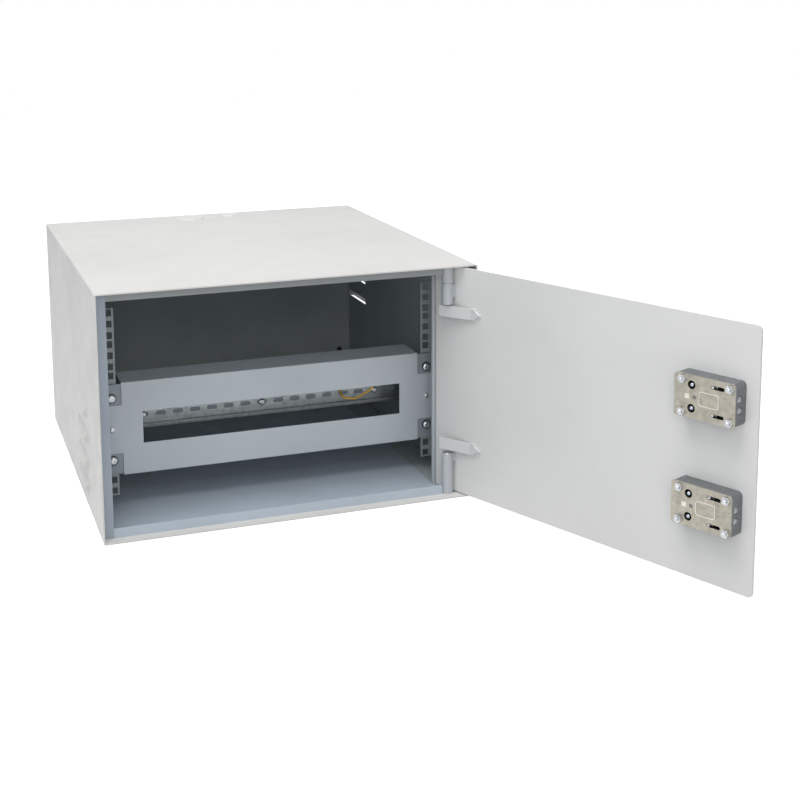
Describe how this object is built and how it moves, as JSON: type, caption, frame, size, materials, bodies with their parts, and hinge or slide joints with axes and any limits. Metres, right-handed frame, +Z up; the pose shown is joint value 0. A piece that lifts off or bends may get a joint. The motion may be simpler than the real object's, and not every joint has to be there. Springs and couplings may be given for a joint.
{
  "type": "roadside utility cabinet",
  "caption": "Small sheet steel equipment cabinet with a side-hinged door, deadbolt locks, rack rails and a DIN rail unit with a windowed cover.",
  "frame": {"origin": "centre of the cabinet's underside, halfway across its width and halfway between the front rim and the back", "axes": "+X towards the hinge side, +Y from the open front to the back, +Z up"},
  "size_m": [0.7037, 0.9947, 0.3382],
  "materials": {
    "powder_coat": "satin light grey powder coat",
    "plug_plastic": "light grey blanking plug",
    "zinc_plate": "bright zinc plate",
    "black_plastic": "black plastic",
    "tinned_lug": "tinned copper",
    "wire_sleeve": "yellow-green wire insulation",
    "yellow_zinc": "pale yellow zinc plate",
    "lock_case": "grey zinc plate"
  },
  "bodies": {
    "cabinet": {"shell": "powder_coat", "back_panel": "powder_coat", "frame_left": "powder_coat", "frame_top": "powder_coat", "floor_tray": "powder_coat", "jamb_right": "powder_coat", "rack_rail_left": "powder_coat", "rack_rail_right": "powder_coat", "din_bracket": "powder_coat", "unit_cover": "powder_coat", "fixed_knuckles": "powder_coat", "entry_plug_large": "plug_plastic", "entry_plug_small": "plug_plastic", "rack_screws": "zinc_plate", "cover_screws": "zinc_plate", "din_screws": "zinc_plate", "din_rail": "zinc_plate", "earth_studs": "zinc_plate", "earth_nuts": "zinc_plate", "hinge_pins": "zinc_plate", "cage_nuts": "zinc_plate", "rack_washers": "black_plastic", "earth_lugs": "tinned_lug", "earth_wire": "wire_sleeve"},
    "door": {"door_leaf": "powder_coat", "door_knuckles": "powder_coat", "hinge_straps": "powder_coat", "lock_case_upper": "lock_case", "lock_case_lower": "lock_case", "lock_plate_upper": "yellow_zinc", "lock_plate_lower": "yellow_zinc", "key_guides_upper": "zinc_plate", "key_guides_lower": "zinc_plate", "lock_studs": "zinc_plate", "lock_nuts": "zinc_plate", "lock_plate_screws": "zinc_plate"},
    "upper_bolts": {"lock_bolts_upper": "yellow_zinc"},
    "lower_bolts": {"lock_bolts_lower": "yellow_zinc"}
  },
  "joints": [
    {"name": "door_hinge", "type": "hinge", "parent": "cabinet", "child": "door", "pos_m": [0.228, -0.265, 0.168], "axis": [0, 0, 1], "range_deg": [-113.4, 10]},
    {"name": "upper_bolt_slide", "type": "slide", "parent": "door", "child": "upper_bolts", "axis": [0.3971, -0.9178, 0], "range_m": [0, 0.0135]},
    {"name": "lower_bolt_slide", "type": "slide", "parent": "door", "child": "lower_bolts", "axis": [0.3971, -0.9178, 0], "range_m": [0, 0.0135]}
  ]
}
